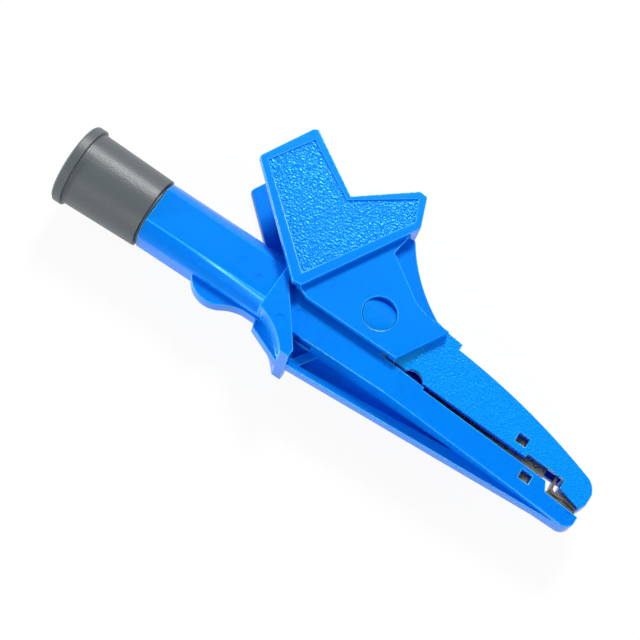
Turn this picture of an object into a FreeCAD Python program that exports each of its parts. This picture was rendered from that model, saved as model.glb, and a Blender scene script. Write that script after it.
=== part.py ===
import FreeCAD, Part
import math
import os
import Sketcher

# Fully insulated crocodile clip with a rear safety socket for a four millimetre plug.
# The clip lies on its side. X runs along it from the socket mouth to the jaw tips,
# Y points to the thumb lever and Z points up through the clip, which is symmetric about Z = 0.
# The origin is on the socket axis, at the mouth of the rear sleeve.

SIZES = {
    # how far joined forms reach into each other, and cuts past what they cut
    "sink": 1.0,
    "overrun": 1.0,
    "deep_overrun": 3.0,
    "far_cut": 120.0,
    # hinge
    "pivot_along": 53.4,
    "pivot_rise": 4.45,
    "trunnion_radius": 2.7,
    "trunnion_play": 0.06,
    "ramp_drop": 1.15,
    "ramp_start": 0.12,
    "ramp_top_play": 0.2,
    "ear_radius": 6.0,
    "ear_play": 0.3,
    # thicknesses across the clip
    "side_half": 4.8,
    "side_play": 0.3,
    "neck_wall": 1.4,
    "cheek_wall": 1.5,
    "wall": 1.2,
    # barrel of the fixed body
    "barrel_radius": 5.65,
    "barrel_front": 48.0,
    "underside_drop": 5.3,
    # grey rear sleeve
    "flange_radius": 6.8,
    "flange_length": 1.7,
    "sleeve_rear_radius": 6.3,
    "sleeve_front_radius": 5.95,
    "sleeve_length": 15.2,
    "shroud_bore_radius": 4.75,
    "shroud_depth": 13.8,
    "pillar_radius": 3.2,
    "pillar_setback": 2.0,
    "spigot_radius": 3.65,
    "spigot_length": 6.8,
    "spigot_play": 0.05,
    "sleeve_groove_width": 0.35,
    "sleeve_groove_depth": 0.9,
    "sleeve_chamfer": 0.3,
    "collar_play": 0.2,
    "tongue_room_play": 2.0,
    "tongue_bore_step": 0.7,
    # metal socket
    "socket_bore_radius": 2.0,
    "socket_bore_depth": 18.5,
    "socket_outer_radius": 2.55,
    "socket_play": 0.05,
    "socket_setback": 2.4,
    "collar_radius": 3.4,
    "collar_length": 1.4,
    "collar_seat_play": 0.05,
    "socket_chamfer": 0.2,
    "drill_point": 1.2,
    "tongue_neck": 1.2,
    "tongue_length": 5.0,
    "tongue_low": 1.3,
    "tongue_high": 1.0,
    "rivet_shank_radius": 0.75,
    "rivet_head_radius": 1.25,
    "rivet_head_height": 0.5,
    "rivet_play": 0.05,
    "rivet_dome_radius": 0.75,
    "rivet_rim_height": 0.2,
    "rivet_head_play": 0.08,
    "rivet_set_play": 0.02,
    # jaws in plan
    "taper_start": 62.0,
    "tip_along": 95.8,
    "nose_half": 2.0,
    "contact_half": 1.45,
    "contact_play": 0.06,
    "funnel_end": 82.0,
    # lower jaw
    "lip_rear_drop": 0.45,
    "lip_front_drop": 0.95,
    "lip_front": 65.3,
    "lower_edge_drop": 1.38,
    "lower_throat": 88.6,
    "lower_throat_drop": 2.05,
    "lower_nose": 89.4,
    "lower_nose_drop": 3.62,
    "lower_tip_drop": 4.0,
    "tip_end_drop": 5.3,
    "tip_setback": 0.1,
    "belly_end_radius": 1.766667,
    "floor_front_rise": 0.25,
    "channel_front_play": 0.15,
    "strip_slack": 0.18,
    "belly_front": 93.8,
    "belly_front_drop": 6.55,
    "belly_rear": 60.0,
    # keel, fin and finger guard
    "keel_half": 1.3,
    "keel_web_half": 0.45,
    "keel_rear_drop": 9.3,
    "keel_window_rear": 49.1,
    "keel_window_front": 73.8,
    "keel_window_low": 47.4,
    "keel_window_drop": 8.1,
    "fin_half": 1.4,
    "fin_rear": 25.5,
    "fin_crest_run": 6.6,
    "fin_crest_radius": 4.6,
    "fin_shoulder_drop": 6.9,
    "fin_dip_run": 3.3,
    "fin_dip_radius": 7.65,
    "fin_low_drop": 5.65,
    "guard_half": 6.25,
    "guard_rear": 37.5,
    "guard_top": 3.3,
    "guard_top_land": 0.3,
    "guard_brow": 39.1,
    "guard_brow_rise": 0.75,
    "guard_lip_drop": 5.1,
    "guard_foot_rear": 43.95,
    "guard_foot_front": 45.6,
    "guard_foot_drop": 9.4,
    "guard_toe_drop": 8.0,
    "guard_groove_radius": 11.2,
    "guard_rib_heel": 0.45,
    "guard_rib_heel_drop": 6.95,
    "guard_rib_setback": 0.25,
    "block_inset": 2.5,
    "core_rear_run": 1.2,
    "core_play": 0.3,
    "core_depth": 4.8,
    "keel_window_top_drop": 0.5,
    "keel_window_tip_drop": 0.65,
    "hollow_rear_run": 1.4,
    "hollow_front_run": 1.8,
    "hollow_play": 0.2,
    "hollow_web_half": 0.25,
    # thumb lever: cheeks, web and neck
    "cheek_heel": 39.6,
    "cheek_heel_rise": 0.6,
    "cheek_toe": 41.1,
    "cheek_toe_rise": 0.8,
    "cheek_front_lean": 1.9,
    "cheek_front_rise": 19.4,
    "cheek_horn_land": 1.4,
    "cheek_horn": 48.0,
    "cheek_horn_rise": 24.6,
    "cheek_vee": 39.5,
    "cheek_vee_rise": 17.5,
    "cheek_peak": 29.3,
    "cheek_peak_rise": 24.0,
    "cheek_rear": 24.4,
    "cheek_rear_rise": 15.3,
    "cheek_rim": 1.3,
    "cheek_recess": 0.3,
    "cheek_horn_fall": 0.2,
    "cheek_peak_run": 0.7,
    "cheek_peak_fall": 0.4,
    "cheek_rear_run": 0.1,
    "cheek_rear_fall": 0.5,
    "web_drop": 2.0,
    "end_wall": 1.7,
    "swing_radius": 13.4,
    "swing_top_drop": 4.4,
    "swing_low_drop": 0.1,
    "peak_overrun": 1.8,
    "neck_low": 0.1,
    "neck_toe_run": 1.6,
    "neck_crease_run": 2.345,
    "neck_crease_rise": 0.35,
    "neck_top_run": 0.6,
    "neck_web_overlap": 0.4,
    "neck_rear_run": 1.5,
    "neck_rear_rise": 8.0,
    "neck_front": 59.3,
    "neck_front_drop": 0.2,
    "neck_brow": 63.9,
    "neck_brow_rise": 8.15,
    "neck_waist": 57.2,
    "neck_waist_rise": 9.2,
    "neck_shoulder": 50.0,
    "neck_shoulder_rise": 14.2,
    "spine_top": 51.6,
    "spine_top_rise": 18.4,
    "spine_foot": 61.4,
    "spine_foot_rise": 9.2,
    "spine_radius": 28.0,
    "spine_wall": 1.4,
    "spine_side_depth": 2.4,
    "spine_inner_run": 0.6,
    "spine_inner_drop": 0.8,
    "spine_foot_inset": 0.98,
    "spine_ceiling_rise": 0.9,
    "spine_heel_inset": 1.0,
    "brow_rise": 8.65,
    "brow_front": 66.65,
    "brow_front_rise": 8.4,
    # upper jaw
    "back_rear_rise": 7.4,
    "back_radius": 112.0,
    "back_front": 94.2,
    "back_front_rise": 2.2,
    "heel_rise": 0.15,
    "edge_rear_drop": 0.55,
    "edge_front_drop": 0.75,
    "edge_step": 84.15,
    "edge_step_drop": 0.15,
    "throat_front": 91.0,
    "throat_drop": 0.25,
    "nose_rear_drop": 1.7,
    "nose_front": 95.2,
    "nose_front_drop": 2.8,
    "nose_round": 3.2,
    "nose_top_rise": 0.2,
    "cavity_overlap": 0.1,
    "cavity_rear_rise": 0.6,
    "cavity_front_fall": 0.8,
    "throat_wall": 0.4,
    "throat_floor_drop": 0.1,
    "ceiling_rear_rise": 6.0,
    "ceiling_front": 88.6,
    "ceiling_front_rise": 2.35,
    "ceiling_funnel_rise": 4.2,
    "notch_along": 63.05,
    "notch_drop": 1.35,
    "notch_rear_drop": 0.34,
    "notch_radius": 1.9,
    "disc_radius": 2.1,
    "disc_depth": 0.15,
    # shallow round marks of the mould
    "mark_depth": 0.1,
    "guard_mark_along": 41.2,
    "guard_mark_drop": 5.1,
    "guard_mark_radius": 0.82,
    "body_mark_along": 43.4,
    "body_mark_drop": 2.6,
    "body_mark_radius": 1.2,
    "barrel_mark_along": 34.9,
    "barrel_mark_drop": 0.85,
    "barrel_mark_radius": 0.6,
    "nose_mark_along": 94.2,
    "nose_mark_drop": 4.7,
    "nose_mark_radius": 0.58,
    # windows that latch the contacts
    "upper_window": 82.3,
    "upper_window_rise": 1.2,
    "lower_window": 85.6,
    "lower_window_drop": 3.45,
    "window_length": 1.9,
    "window_height": 1.5,
    # contacts
    "sheet_metal": 0.45,
    "flange_rear": 66.4,
    "flange_front": 88.2,
    "tooth_pitch": 1.8,
    "tooth_depth": 0.7,
    "tooth_gap": 0.15,
    "bite_drop": 1.0,
    "barb_length": 1.2,
    "barb_height": 0.8,
    "barb_rise": 0.35,
    "barb_root": 0.2,
    "barb_toe_rise": 0.05,
    "strip_play": 0.04,
    "strip_tail": 2.0,
    "strip_bend_run": 0.8,
    "strip_foot_run": 1.8,
    "strip_foot_drop": 0.15,
    "strip_throat_run": 1.4,
    "strip_nose_run": 0.1,
    "strip_tip_run": 0.8,
    "floor_play": 0.08,
    "floor_front_play": 0.12,
    "tip_play": 0.1,
    "flange_foot_drop": 0.25,
    "root_rear_rise": 0.27,
    "root_front_rise": 0.2475,
    "gap_front_run": 1.6,
    "gap_lip_run": 1.1,
    "gap_low": 2.5,
    "gap_front_play": 0.2,
    "upper_strip_fall": 0.75,
    "wrap_leg_run": 0.95,
    "wrap_bend_run": 0.35,
    "wrap_bend_fall": 0.3,
    "wrap_leg_drop": 0.65,
    "wrap_foot_run": 0.55,
    "wrap_low_drop": 1.0,
    "wrap_flat_run": 1.5,
    "wrap_crest_run": 2.5,
    "wrap_crest_drop": 0.78,
    "wrap_dip_run": 3.7,
    "wrap_dip_drop": 1.03,
    "wrap_end_run": 4.7,
    "wrap_end_drop": 1.3,
    # return spring
    "coil_radius": 2.45,
    "wire_radius": 0.4,
    "whole_turns": 5.0,
    "coil_pitch": 0.86,
    "stub_radius": 1.8,
    "stub_length": 1.5,
    "spring_room_rear": 41.5,
    "spring_room_floor": 1.55,
    "spring_room_sill": 1.0,
    "room_floor_run": 3.4,
    "room_front_run": 4.2,
    "room_front_drop": 1.5,
    "leg_play": 0.05,
    "leg_overhang": 2.0,
    "rest_leg_length": 10.5,
}

# The thin wire is six-sided, which keeps the hidden coil light.
WIRE_SIDES = 6

document = FreeCAD.newDocument("crocodile_clip")
sheet = document.addObject("Spreadsheet::Sheet", "Sizes")
for row, (alias, number) in enumerate(SIZES.items(), start=1):
    sheet.set(f"A{row}", alias)
    sheet.set(f"B{row}", str(number))
    sheet.setAlias(f"B{row}", alias)
document.recompute()


class Size:
    """A number together with the sheet expression that gives it."""

    def __init__(self, number, text):
        self.number = float(number)
        self.text = text

    def __add__(self, other):
        other = as_size(other)
        return Size(self.number + other.number, f"({self.text} + {other.text})")

    def __sub__(self, other):
        other = as_size(other)
        return Size(self.number - other.number, f"({self.text} - {other.text})")

    def __mul__(self, other):
        other = as_size(other)
        return Size(self.number * other.number, f"({self.text} * {other.text})")

    def __truediv__(self, other):
        other = as_size(other)
        return Size(self.number / other.number, f"({self.text} / {other.text})")

    def __neg__(self):
        return Size(-self.number, f"(0 - {self.text})")

    __radd__ = __add__
    __rmul__ = __mul__


def as_size(value):
    """Lets a plain number stand beside sheet values."""
    if isinstance(value, Size):
        return value
    return Size(value, f"({value:.9f})")


def leg(long_side, short_side):
    """The other short side of a right triangle."""
    number = math.sqrt(long_side.number ** 2 - short_side.number ** 2)
    return Size(number, f"sqrt({long_side.text} ^ 2 - {short_side.text} ^ 2)")


def cell(alias):
    """The sheet value with this alias."""
    return Size(sheet.get(alias), f"Sizes.{alias}")


def between(first, second, share):
    """The value a share of the way from the first to the second."""
    return first + (second - first) * share


def cosine(angle):
    """The cosine of an angle in degrees."""
    return Size(math.cos(math.radians(angle.number)), f"cos({angle.text} * 1 deg)")


def sine(angle):
    """The sine of an angle in degrees."""
    return Size(math.sin(math.radians(angle.number)), f"sin({angle.text} * 1 deg)")


def tangent_line(centre, radius, target, clearance):
    """Angle in degrees and length of a line that leaves a circle and passes below a point."""
    across, up = target[0] - centre[0], target[1] - centre[1]
    distance = Size(
        math.hypot(across.number, up.number), f"sqrt({across.text} ^ 2 + {up.text} ^ 2)"
    )
    offset = radius + clearance
    number = math.degrees(
        math.atan2(up.number, across.number) + math.asin(offset.number / distance.number)
    )
    text = f"((atan2({up.text}; {across.text}) + asin({offset.text} / {distance.text})) / 1 deg)"
    return Size(number, text), leg(distance, offset)


def new_body(label):
    """A body whose label names its file."""
    body = document.addObject("PartDesign::Body", label)
    body.Label = label
    return body


def origin_plane(body, role):
    """One of the body's own origin planes."""
    return [feature for feature in body.Origin.OriginFeatures if feature.Role == role][0]


def new_sketch(body, name, role, middle):
    """A sketch parallel to an origin plane, moved along that plane's normal."""
    sketch = body.newObject("Sketcher::SketchObject", name)
    sketch.AttachmentSupport = [(origin_plane(body, role), "")]
    sketch.MapMode = "FlatFace"
    sketch.setExpression("AttachmentOffset.Base.z", as_size(middle).text)
    return sketch


def fix_point(sketch, geometry, position, across, up):
    """Places one end of a line or arc by its two coordinates."""
    for kind, value in (("DistanceX", across), ("DistanceY", up)):
        index = sketch.addConstraint(
            Sketcher.Constraint(kind, -1, 1, geometry, position, value.number)
        )
        sketch.setExpression(f"Constraints[{index}]", value.text)


def arc_between(start, end, radius, turn):
    """An arc from start to end whose centre lies left (turn 1) or right (turn -1) of the chord."""
    chord = end - start
    half = chord.Length / 2.0
    rise = math.sqrt(radius ** 2 - half ** 2)
    normal = FreeCAD.Vector(-chord.y, chord.x, 0).normalize()
    centre = start + chord * 0.5 + normal * rise * turn
    first, last = (start, end) if turn > 0 else (end, start)
    angles = [math.atan2(point.y - centre.y, point.x - centre.x) for point in (first, last)]
    circle = Part.Circle(centre, FreeCAD.Vector(0, 0, 1), radius)
    return Part.ArcOfCircle(circle, angles[0], angles[1])


def draw_outline(sketch, corners):
    """A closed outline. A corner is (x, y), or (x, y, radius, turn) when an arc leaves it."""
    corners = [(as_size(corner[0]), as_size(corner[1])) + tuple(corner[2:]) for corner in corners]
    ends = []
    for index, corner in enumerate(corners):
        following = corners[(index + 1) % len(corners)]
        start = FreeCAD.Vector(corner[0].number, corner[1].number, 0)
        end = FreeCAD.Vector(following[0].number, following[1].number, 0)
        if len(corner) == 2:
            sketch.addGeometry(Part.LineSegment(start, end))
            ends.append((1, 2))
        else:
            radius, turn = corner[2:]
            sketch.addGeometry(arc_between(start, end, radius.number, turn))
            ends.append((1, 2) if turn > 0 else (2, 1))
            place = sketch.addConstraint(Sketcher.Constraint("Radius", index, radius.number))
            sketch.setExpression(f"Constraints[{place}]", radius.text)
    for index, corner in enumerate(corners):
        after = (index + 1) % len(corners)
        sketch.addConstraint(
            Sketcher.Constraint("Coincident", index, ends[index][1], after, ends[after][0])
        )
        fix_point(sketch, index, ends[index][0], corner[0], corner[1])


def draw_circle(sketch, across, up, radius):
    """A circle placed by its centre."""
    across, up, radius = as_size(across), as_size(up), as_size(radius)
    centre = FreeCAD.Vector(across.number, up.number, 0)
    sketch.addGeometry(Part.Circle(centre, FreeCAD.Vector(0, 0, 1), radius.number))
    fix_point(sketch, 0, 3, across, up)
    place = sketch.addConstraint(Sketcher.Constraint("Radius", 0, radius.number))
    sketch.setExpression(f"Constraints[{place}]", radius.text)


def feature(body, kind, name, sketch, length):
    """A pad or pocket that reaches half the length to each side of its sketch."""
    made = body.newObject(f"PartDesign::{kind}", name)
    made.Profile = sketch
    made.SideType = "Symmetric"
    made.setExpression("Length", as_size(length).text)
    return made


def slab(body, kind, name, corners, length, role="XY_Plane", middle=0.0):
    """A pad or pocket with a closed outline."""
    sketch = new_sketch(body, f"{name}_sketch", role, middle)
    draw_outline(sketch, corners)
    return feature(body, kind, name, sketch, length)


def disc(body, kind, name, centre, radius, length, role="XY_Plane", middle=0.0):
    """A round pad or pocket."""
    sketch = new_sketch(body, f"{name}_sketch", role, middle)
    draw_circle(sketch, centre[0], centre[1], radius)
    return feature(body, kind, name, sketch, length)


def turned(body, name, corners, axis="H_Axis"):
    """A revolution of a closed outline about one of its sketch's axes."""
    sketch = new_sketch(body, f"{name}_sketch", "XY_Plane", 0.0)
    draw_outline(sketch, corners)
    made = body.newObject("PartDesign::Revolution", name)
    made.Profile = sketch
    made.ReferenceAxis = (sketch, [axis])
    made.Angle = 360.0
    return made


def ribbon(points, thickness):
    """The outline of a bent strip from its middle line."""
    upper, lower = [], []
    for index, (across, up) in enumerate(points):
        before = points[max(index - 1, 0)]
        after = points[min(index + 1, len(points) - 1)]
        directions = []
        for first, second in ((before, (across, up)), ((across, up), after)):
            step = FreeCAD.Vector(
                second[0].number - first[0].number, second[1].number - first[1].number, 0
            )
            if step.Length > 1e-9:
                directions.append(step.normalize())
        middle = directions[0] + directions[-1]
        middle.normalize()
        reach = 0.5 / middle.dot(directions[0])
        side_x, side_y = -middle.y * reach, middle.x * reach
        upper.append((across + thickness * side_x, up + thickness * side_y))
        lower.append((across - thickness * side_x, up - thickness * side_y))
    return upper + lower[::-1]


pivot = (cell("pivot_along"), cell("pivot_rise"))
side_half = cell("side_half")
neck_inner = side_half + cell("side_play")
neck_outer = neck_inner + cell("neck_wall")
cheek_outer = neck_outer + cell("cheek_wall")
underside = -cell("underside_drop")
ear_radius = cell("ear_radius")
clear_radius = ear_radius + cell("ear_play")
room_half = side_half - cell("wall")
slot_half = cell("contact_half") + cell("contact_play")
far = cell("far_cut")
sink = cell("sink")
overrun = cell("overrun")


def taper_cuts(body, name):
    """Narrows a jaw in plan from the taper's start to the nose."""
    start, tip = cell("taper_start"), cell("tip_along")
    past = tip + overrun
    fall = (side_half - cell("nose_half")) / (tip - start)
    past_half = cell("nose_half") - fall * overrun
    for side in (1, -1):
        corners = [
            (start, side_half * side),
            (past, past_half * side),
            (past, (side_half + overrun) * side),
            (start, (side_half + overrun) * side),
        ]
        slab(body, "Pocket", f"{name}_{'near' if side > 0 else 'far'}", corners, far, "XZ_Plane")


def funnel_cut(body, name, low, high, start):
    """The part of a jaw's inner channel that narrows in plan towards the contact."""
    corners = [
        (start, room_half),
        (cell("taper_start"), room_half),
        (cell("funnel_end"), slot_half),
        (cell("funnel_end"), -slot_half),
        (cell("taper_start"), -room_half),
        (start, -room_half),
    ]
    slab(body, "Pocket", name, corners, high - low, "XZ_Plane", -(between(low, high, 0.5)))


def windows(body, name, along, up):
    """The two side windows of a jaw."""
    half_length = cell("window_length") / 2.0
    half_height = cell("window_height") / 2.0
    corners = [
        (along - half_length, up - half_height),
        (along + half_length, up - half_height),
        (along + half_length, up + half_height),
        (along - half_length, up + half_height),
    ]
    slab(body, "Pocket", name, corners, side_half * 2.0)


def make_lower_body():
    """Barrel, lower jaw, keel, fin, finger guard, ears and trunnions in one moulding."""
    body = new_body("lower_body")
    radius = cell("barrel_radius")
    rear = cell("sleeve_length")
    front = cell("barrel_front")
    flat_top = leg(radius, side_half)
    flat_low = leg(radius, cell("underside_drop"))
    barrel = [
        (flat_top, -side_half, radius, 1),
        (flat_top, side_half),
        (-flat_top, side_half, radius, 1),
        (underside, flat_low),
        (underside, -flat_low, radius, 1),
        (-flat_top, -side_half),
    ]
    slab(body, "Pad", "barrel", barrel, front - rear, "YZ_Plane", between(rear, front, 0.5))

    lip_rear = -cell("lip_rear_drop")
    ear_front = pivot[0] + leg(ear_radius, pivot[1] - lip_rear)
    ear_rear = pivot[0] - leg(ear_radius, radius - pivot[1])
    tip = cell("tip_along") - cell("tip_setback")
    block_rear = cell("guard_rear") + cell("block_inset")
    block = [
        (block_rear, underside),
        (cell("belly_rear"), underside),
        (cell("belly_front"), -cell("belly_front_drop"), cell("belly_end_radius"), 1),
        (tip, -cell("tip_end_drop")),
        (tip, -cell("lower_tip_drop")),
        (cell("lower_nose"), -cell("lower_nose_drop")),
        (cell("lower_throat"), -cell("lower_throat_drop")),
        (cell("lip_front"), -cell("lower_edge_drop")),
        (cell("lip_front"), -cell("lip_front_drop")),
        (ear_front, lip_rear, ear_radius, 1),
        (pivot[0], pivot[1] + ear_radius, ear_radius, 1),
        (ear_rear, radius),
        (block_rear, radius),
    ]
    slab(body, "Pad", "jaw_block", block, side_half * 2.0)
    taper_cuts(body, "jaw_taper")

    keel = [
        (cell("guard_foot_rear"), underside + sink),
        (cell("guard_foot_rear"), -cell("keel_rear_drop")),
        (cell("belly_front"), -cell("belly_front_drop")),
        (cell("belly_front"), -cell("belly_front_drop") + sink),
        (cell("belly_rear"), underside + sink),
    ]
    slab(body, "Pad", "keel", keel, cell("keel_half") * 2.0)

    fin_low = -cell("fin_low_drop")
    shoulder = cell("fin_rear") + cell("fin_crest_run")
    fin = [
        (cell("fin_rear"), underside + sink),
        (cell("fin_rear"), underside, cell("fin_crest_radius"), 1),
        (shoulder, -cell("fin_shoulder_drop"), cell("fin_dip_radius"), -1),
        (shoulder + cell("fin_dip_run"), fin_low),
        (cell("guard_rear") + sink, fin_low),
        (cell("guard_rear") + sink, underside + sink),
    ]
    slab(body, "Pad", "fin", fin, cell("fin_half") * 2.0)

    foot_low = -cell("guard_foot_drop")
    guard = [
        (cell("guard_rear"), -cell("guard_lip_drop"), cell("guard_groove_radius"), -1),
        (cell("guard_foot_rear"), foot_low),
        (cell("guard_foot_front"), foot_low),
        (cell("guard_foot_front"), -cell("guard_toe_drop")),
        (cell("guard_brow"), cell("guard_brow_rise")),
        (cell("guard_rear") + cell("guard_top_land"), cell("guard_top")),
        (cell("guard_rear"), cell("guard_top")),
    ]
    slab(body, "Pad", "finger_guard", guard, cell("guard_half") * 2.0)
    rib_front = cell("guard_foot_rear") + sink / 2.0
    rib = [
        (cell("guard_rear"), -cell("guard_lip_drop")),
        (cell("guard_rear") + cell("guard_rib_heel"), -cell("guard_rib_heel_drop")),
        (cell("guard_foot_rear") - cell("guard_rib_setback"), foot_low),
        (rib_front, foot_low),
        (rib_front, -cell("guard_lip_drop")),
    ]
    slab(body, "Pad", "guard_rib", rib, cell("keel_half") * 2.0)

    room_sill = pivot[1] + cell("spring_room_sill")
    room = [
        (cell("spring_room_rear"), cell("spring_room_floor")),
        (pivot[0] + cell("room_floor_run"), cell("spring_room_floor")),
        (pivot[0] + cell("room_front_run"), pivot[1] - cell("room_front_drop")),
        (pivot[0] + cell("room_front_run"), room_sill),
        (pivot[0] + clear_radius, room_sill),
        (pivot[0] + clear_radius, pivot[1] + clear_radius),
        (cell("spring_room_rear"), pivot[1] + clear_radius),
    ]
    slab(body, "Pocket", "spring_room", room, room_half * 2.0)

    floor_rear = underside + cell("wall")
    floor_front = -cell("belly_front_drop") + cell("wall") + cell("floor_front_rise")
    channel_rear = cell("belly_rear") - overrun
    channel_front = cell("lower_nose") + cell("channel_front_play")
    channel = [
        (channel_rear, floor_rear),
        (channel_front, floor_front),
        (channel_front, overrun),
        (channel_rear, overrun),
    ]
    slab(body, "Pocket", "jaw_channel", channel, slot_half * 2.0)
    funnel_cut(body, "jaw_funnel", floor_rear, overrun, channel_rear)

    bore = cell("spigot_radius") + cell("spigot_play")
    step = rear + cell("spigot_length") + cell("collar_length") + cell("collar_play")
    tongue_room = step + cell("tongue_length") + cell("tongue_room_play")
    disc(body, "Pocket", "spigot_bore", (0, 0), bore, step - rear, "YZ_Plane", between(rear, step, 0.5))
    disc(
        body, "Pocket", "tongue_bore", (0, 0), bore - cell("tongue_bore_step"), tongue_room - step,
        "YZ_Plane", between(step, tongue_room, 0.5),
    )
    strip_top = -cell("tongue_low") + cell("contact_play")
    strip_low = strip_top - cell("sheet_metal") - cell("strip_slack")
    passage_rear = tongue_room - overrun
    passage_front = cell("belly_rear")
    passage = [
        (strip_low, -slot_half),
        (strip_top, -slot_half),
        (strip_top, slot_half),
        (strip_low, slot_half),
    ]
    slab(
        body, "Pocket", "strip_passage", passage, passage_front - passage_rear,
        "YZ_Plane", between(passage_rear, passage_front, 0.5),
    )

    for side in (1, -1):
        end = "near" if side > 0 else "far"
        web = cell("keel_web_half")
        depth = cell("keel_half") - web + overrun / 2.0
        middle = (web + depth / 2.0) * side
        window = [
            (cell("keel_window_rear"), underside),
            (cell("keel_window_low"), -cell("keel_window_drop")),
            (cell("keel_window_front"), underside - cell("keel_window_tip_drop")),
            (cell("keel_window_front"), underside - cell("keel_window_top_drop")),
            (cell("belly_rear"), underside),
        ]
        slab(body, "Pocket", f"keel_panel_{end}", window, depth, middle=middle)
        foot, play = cell("guard_foot_front"), cell("hollow_play")
        hollow_front = foot + cell("hollow_front_run")
        hollow = [
            (foot - cell("hollow_rear_run"), underside),
            (foot + play, -cell("guard_toe_drop") + play),
            (hollow_front, underside),
        ]
        hollow_web = cell("hollow_web_half")
        hollow_depth = cell("keel_half") - hollow_web + overrun / 2.0
        slab(
            body, "Pocket", f"keel_hollow_{end}", hollow, hollow_depth,
            middle=(hollow_web + hollow_depth / 2.0) * side,
        )
        core_rear = foot - cell("core_rear_run")
        core_inner = (cell("keel_half") + cell("core_play")) * side
        core_outer = (side_half - cell("wall")) * side
        core = [
            (core_rear, core_inner),
            (hollow_front, core_inner),
            (hollow_front, core_outer),
            (core_rear, core_outer),
        ]
        slab(
            body, "Pocket", f"core_hole_{end}", core, cell("core_depth"),
            "XZ_Plane", cell("underside_drop"),
        )
        reach = neck_outer - side_half
        disc(
            body, "Pad", f"trunnion_{end}", pivot, cell("trunnion_radius"), reach,
            middle=between(side_half, neck_outer, 0.5) * side,
        )
        ramp_low = pivot[1] + cell("ramp_start")
        ramp_top = pivot[1] + cell("trunnion_radius") + cell("ramp_top_play")
        ramp_out = (neck_outer + overrun / 2.0) * side
        ramp = [
            (ramp_low, neck_outer * side),
            (ramp_top, (neck_outer - cell("ramp_drop")) * side),
            (ramp_top, ramp_out),
            (ramp_low, ramp_out),
        ]
        slab(
            body, "Pocket", f"ramp_{end}", ramp, cell("trunnion_radius") * 2.0 + overrun,
            "YZ_Plane", pivot[0],
        )
        disc(
            body, "Pad", f"stub_{end}", pivot, cell("stub_radius"), cell("stub_length"),
            middle=(room_half - cell("stub_length") / 2.0) * side,
        )
        disc(
            body, "Pocket", f"grip_disc_{end}", (cell("notch_along"), -cell("notch_drop")),
            cell("disc_radius"), cell("disc_depth") * 2.0, middle=side_half * side,
        )
        fall = (side_half - cell("nose_half")) / (cell("tip_along") - cell("taper_start"))
        nose_side = side_half - fall * (cell("nose_mark_along") - cell("taper_start"))
        for mark, face in (
            ("guard", cell("guard_half")),
            ("body", side_half),
            ("barrel", side_half),
            ("nose", nose_side),
        ):
            disc(
                body, "Pocket", f"{mark}_mark_{end}",
                (cell(f"{mark}_mark_along"), -cell(f"{mark}_mark_drop")),
                cell(f"{mark}_mark_radius"), cell("mark_depth") * 2.0, middle=face * side,
            )
    windows(body, "lower_windows", cell("lower_window"), -cell("lower_window_drop"))
    return body


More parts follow.
